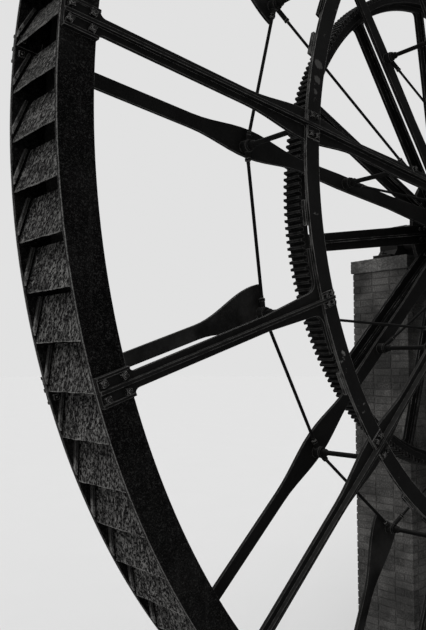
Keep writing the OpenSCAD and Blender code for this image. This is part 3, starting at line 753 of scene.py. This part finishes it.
# Spur gear
# Twelve toothed castings make the gear's rim, and twelve tapered arms carry it. The teeth
# are black with old grease, with a painted highlight on their tips, and the arms are rubbed
# in places along their edges.
GEAR_TIP = 2.705
GEAR_ARMS = 12
GEAR_FIRST_ANGLE = 20
GEAR_BOLT_RADII = (0.46, 0.56)
GEAR_BOLT_OFFSET = 0.055
GEAR_WEB_FACE = -0.446
GEAR_FLANGE_FACE = -0.512
ARM_END_RADII = (2.2, 2.4)


def greased_iron(name):
    """Black grease over a casting, rubbed off some edges, with a painted highlight on the teeth's tips.
    """
    finish, paint = new_finish(name)
    place = paint.place()
    radius = radius_from_axle(place)
    mottle = place.noise(16, 6, 0.7)
    grain = place.noise(90, 5, 0.75)
    edge = edge_wear(paint, 0.008)
    # Painted highlight on the outer ends of the teeth.
    tip_highlight = radius.band(GEAR_TIP - 0.045, GEAR_TIP - 0.03)
    rubbed_arm = edge * place.noise(5, 4, 0.6).band(0.48, 0.54) * (1 - radius.band(*ARM_END_RADII))
    level = 0.004 + 0.014 * grain.band(0.4, 0.7) * mottle.band(0.35, 0.65)
    level = level + 0.016 * tip_highlight * mottle.band(0.4, 0.6)
    level = level.larger(0.15 * edge * (0.25 + 0.75 * mottle.band(0.34, 0.6))).larger(0.36 * rubbed_arm)
    coat(paint, level.between(BLACK, BARE_IRON), 0.66 + 0.2 * mottle, 0.5 * grain + 0.5 * mottle, 0.003,
         specular=0.05)
    return finish


dress(greased_iron("gear_iron"), "gear_rim_a", "gear_rim_b", "gear_arms")
gear_nut = nut_shape(6, across=0.046, height=0.028, bolt_d=0.024, bolt_out=0.012)
gear_head = nut_shape(6, across=0.044, height=0.016, bolt_d=0.010, bolt_out=0.001)
gear_nuts, gear_heads = [], []
for arm in range(GEAR_ARMS):
    turned = at_bay((GEAR_FIRST_ANGLE - FIRST_ARM_ANGLE + 360 / GEAR_ARMS * arm) / BAY_ANGLE)
    for radius in GEAR_BOLT_RADII:
        for offset in (-GEAR_BOLT_OFFSET, GEAR_BOLT_OFFSET):
            gear_heads.append(turned @ Matrix.Translation((radius, offset, GEAR_WEB_FACE)))
            gear_nuts.append(turned @ Matrix.Translation((radius, offset, GEAR_FLANGE_FACE)) @ about_face)
add_mesh("gear_bolt_heads", "wheel", "bolt_iron", nut_iron, *copies(gear_head, gear_heads))
add_mesh("gear_nuts", "wheel", "bolt_iron", nut_iron, *copies(gear_nut, gear_nuts))

# Bearings
# Plummer blocks of cast iron with two brasses each, under caps that four bolts hold down.
# Each block stands on its capstone by two foundation bolts. The brasses are brown with oil,
# and the blocks carry the same old paint as the wheel.
BEARING_Y = 1.060
FOOT_BOLT_X = 0.336
FOOT_FACE = 5.406
CLEAN_BRASS = (0.33, 0.23, 0.08)
OILED_BRASS = (0.09, 0.065, 0.035)


def oily_brass(name):
    """Dull brass, brown with oil in patches."""
    finish, paint = new_finish(name)
    place = paint.place()
    tarnish = place.noise(30, 6, 0.65).band(0.35, 0.68)
    colour = tarnish.between(CLEAN_BRASS, OILED_BRASS)
    coat(paint, colour, 0.35 + 0.3 * tarnish, place.noise(90), 0.0006, metallic=0.9, specular=0.5)
    return finish


block_iron = painted_iron("block_iron", tone=0.024, dust=0.05, edge_level=0.26)
dress(block_iron, "near_bearing_base", "far_bearing_base", "near_bearing_cap", "far_bearing_cap")
dress(nut_iron, "near_bearing_bolts", "far_bearing_bolts")
dress(oily_brass("brass"), "near_bearing_brasses", "far_bearing_brasses")
foot_nut = nut_shape(6, across=0.060, height=0.032, bolt_d=0.032, bolt_out=0.020, washer=0.040)
for side, y in (("near", -BEARING_Y), ("far", BEARING_Y)):
    feet = [Matrix.Translation((x, y, FOOT_FACE)) for x in (-FOOT_BOLT_X, FOOT_BOLT_X)]
    add_mesh(side + "_foot_nuts", "stand", "bolt_iron", nut_iron, *copies(foot_nut, feet))

# Piers
# Two masonry piers carry the bearings: brickwork in lime mortar on a footing of squared
# stones, under a tooled capstone. A brick and a footing stone are given by their length,
# depth and height.
BRICK = (0.225, 0.1025, 0.073)
FOOTING_STONE = (0.46, 0.16, 0.196)
BRICK_WEAR = 0.003
STONE_WEAR = 0.007
ARRIS_SPREAD = (0.6, 1.4)
JOINT = 0.010
JOINT_DEPTH = 0.009
SHORTEST_PIECE = 0.3
LENGTH_SPREAD = (0.96, 1.04)
MORTAR_CUTS = 6
CAPSTONE_CUTS = 21
CAPSTONE_ARRIS = 0.004
CAPSTONE_ARRIS_SPREAD = (0.5, 1.6)
CAPSTONE_MARGIN = 0.030
CAPSTONE_SINK = 0.003
ON_FACE = 0.004
MORTAR_NOTE = (-1.0, 0.5, 0.5)
STONE_NOTE = (0.5, 0.5, 0.5)


def course_runs(low, high, length, first_share, rng):
    """Where the blocks of one course begin and end along a side."""
    ends = [low]
    step = length * first_share
    while ends[-1] + step < high - SHORTEST_PIECE * length:
        ends.append(ends[-1] + step)
        step = length * rng.uniform(*LENGTH_SPREAD)
    return list(zip(ends, ends[1:] + [high]))


def filled_box(low, high, cuts=0):
    """A closed box between two corners, with its faces cut into a grid."""
    work = bmesh.new()
    size = [b - a for a, b in zip(low, high)]
    middle = [(a + b) / 2 for a, b in zip(low, high)]
    bmesh.ops.create_cube(work, size=1.0, matrix=Matrix.Translation(middle) @ Matrix.Diagonal((*size, 1)))
    if cuts:
        bmesh.ops.subdivide_edges(work, edges=list(work.edges), cuts=cuts, use_grid_fill=True)
    return work, Vector(middle)


def worn_block(low, high, wear, rng):
    """One brick or stone with worn arrises and a tone of its own, no two quite alike."""
    work, middle = filled_box(low, high)
    arris = rng.uniform(*ARRIS_SPREAD) * wear
    bmesh.ops.bevel(work, geom=list(work.edges), offset=arris, segments=1, affect="EDGES")
    for vert in work.verts:
        pull = rng.uniform(0, wear)
        vert.co += (middle - vert.co).normalized() * pull
    points, faces = shape_of(work)
    tone = (rng.random(), rng.random(), rng.random())
    return points, faces, [tone] * len(points)


def masonry(box, unit, wear, rng):
    """Blocks in bond round the four sides of a pier, and the mortar within."""
    low, high = box
    length, depth, height = unit
    courses = round((high.z - low.z) / (height + JOINT))
    rise = (high.z - low.z) / courses
    shapes = []
    for course in range(courses):
        bottom = low.z + course * rise + JOINT / 2
        top = bottom + rise - JOINT
        first_share = 0.5 if course % 2 else 1.0
        # Sides 0 and 1 run along X, and 2 and 3 along Y. They go through the corners in turn.
        for side in range(4):
            run, across = (0, 1) if side < 2 else (1, 0)
            inset = depth + JOINT if (side < 2) == (course % 2 == 0) else 0.0
            face = low[across] if side % 2 == 0 else high[across] - depth
            runs = course_runs(low[run] + inset, high[run] - inset, length + JOINT, first_share, rng)
            for a, b in runs:
                start, end = [0, 0, bottom], [0, 0, top]
                start[run] = a if a == low[run] else a + JOINT / 2
                end[run] = b if b == high[run] else b - JOINT / 2
                start[across], end[across] = face, face + depth
                shapes.append(worn_block(start, end, wear, rng))
    raked = Vector((JOINT_DEPTH, JOINT_DEPTH, 0))
    mortar, faces = shape_of(filled_box(low + raked, high - raked, MORTAR_CUTS)[0])
    shapes.append((mortar, faces, [MORTAR_NOTE] * len(mortar)))
    return joined(shapes)


def tooled_stone(box, rng):
    """A dressed stone: smooth margins along its arrises, rough sunk panels, chipped corners."""
    low, high = box
    work, middle = filled_box(low, high, CAPSTONE_CUTS)
    for vert in work.verts:
        depths = [min(vert.co[k] - low[k], high[k] - vert.co[k]) for k in range(3)]
        second = sorted(depths)[1]
        inward = [math.copysign(1.0, middle[k] - vert.co[k]) for k in range(3)]
        if second < ON_FACE:
            worn = CAPSTONE_ARRIS * rng.uniform(*CAPSTONE_ARRIS_SPREAD)
            vert.co += Vector([worn * inward[k] if depths[k] < ON_FACE else 0.0 for k in range(3)])
        elif depths[2] > ON_FACE and second > CAPSTONE_MARGIN:
            side = 0 if depths[0] < ON_FACE else 1
            vert.co[side] += inward[side] * (CAPSTONE_SINK + rng.uniform(0, CAPSTONE_SINK))
    points, faces = shape_of(work)
    return points, faces, [STONE_NOTE] * len(points)


def stonework(name, dark, light, mortar_tone, grain_scale):
    """Block tones, soot and damp; the mortar is marked by a negative note."""
    finish, paint = new_finish(name)
    place = paint.place()
    own = paint.note().part("X")
    is_block = own.band(-0.6, -0.4)
    patch = place.noise(2.4, 5, 0.6)
    grit = place.noise(grain_scale, 7, 0.75)
    lime = place.noise(11, 6, 0.7).band(0.58, 0.68)
    damp = 1 - place.part("Z").band(0.1, 1.6)
    level = 0.08 + 0.36 * own + 0.55 * grit.band(0.42, 0.62) + 0.3 * lime
    mortar_level = mortar_tone * (0.6 + 0.7 * grit)
    level = is_block * level + (1 - is_block) * mortar_level
    level = level * (0.40 + 0.8 * patch.band(0.36, 0.64)) * (1 - 0.45 * damp)
    level = level + 0.15 * edge_wear(paint, 0.006) * is_block
    coat(paint, level.between(dark, light), 0.93, 0.7 * grit + 0.3 * lime, 0.005, specular=0.2)
    return finish


brickwork = stonework("brickwork", dark=(0.007, 0.007, 0.0068), light=(0.112, 0.109, 0.105),
                      mortar_tone=0.55, grain_scale=60)
footing_stone = stonework("footing_stone", dark=(0.010, 0.010, 0.0097), light=(0.150, 0.147, 0.142),
                          mortar_tone=0.55, grain_scale=38)
capstone_finish = stonework("capstone", dark=(0.014, 0.014, 0.0136), light=(0.160, 0.157, 0.152),
                            mortar_tone=0.6, grain_scale=48)
for side, seed in (("near", 300), ("far", 400)):
    rng = random.Random(seed)
    bricks = add_mesh(side + "_brickwork", "stand", "masonry", brickwork,
                      *masonry(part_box(side + "_pier"), BRICK, BRICK_WEAR, rng))
    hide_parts(side + "_pier")
    stones = add_mesh(side + "_footing_stones", "stand", "masonry", footing_stone,
                      *masonry(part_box(side + "_footing"), FOOTING_STONE, STONE_WEAR, rng))
    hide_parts(side + "_footing")
    stone = add_mesh(side + "_tooled_capstone", "stand", "capstone", capstone_finish,
                     *tooled_stone(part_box(side + "_capstone"), rng))
    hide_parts(side + "_capstone")
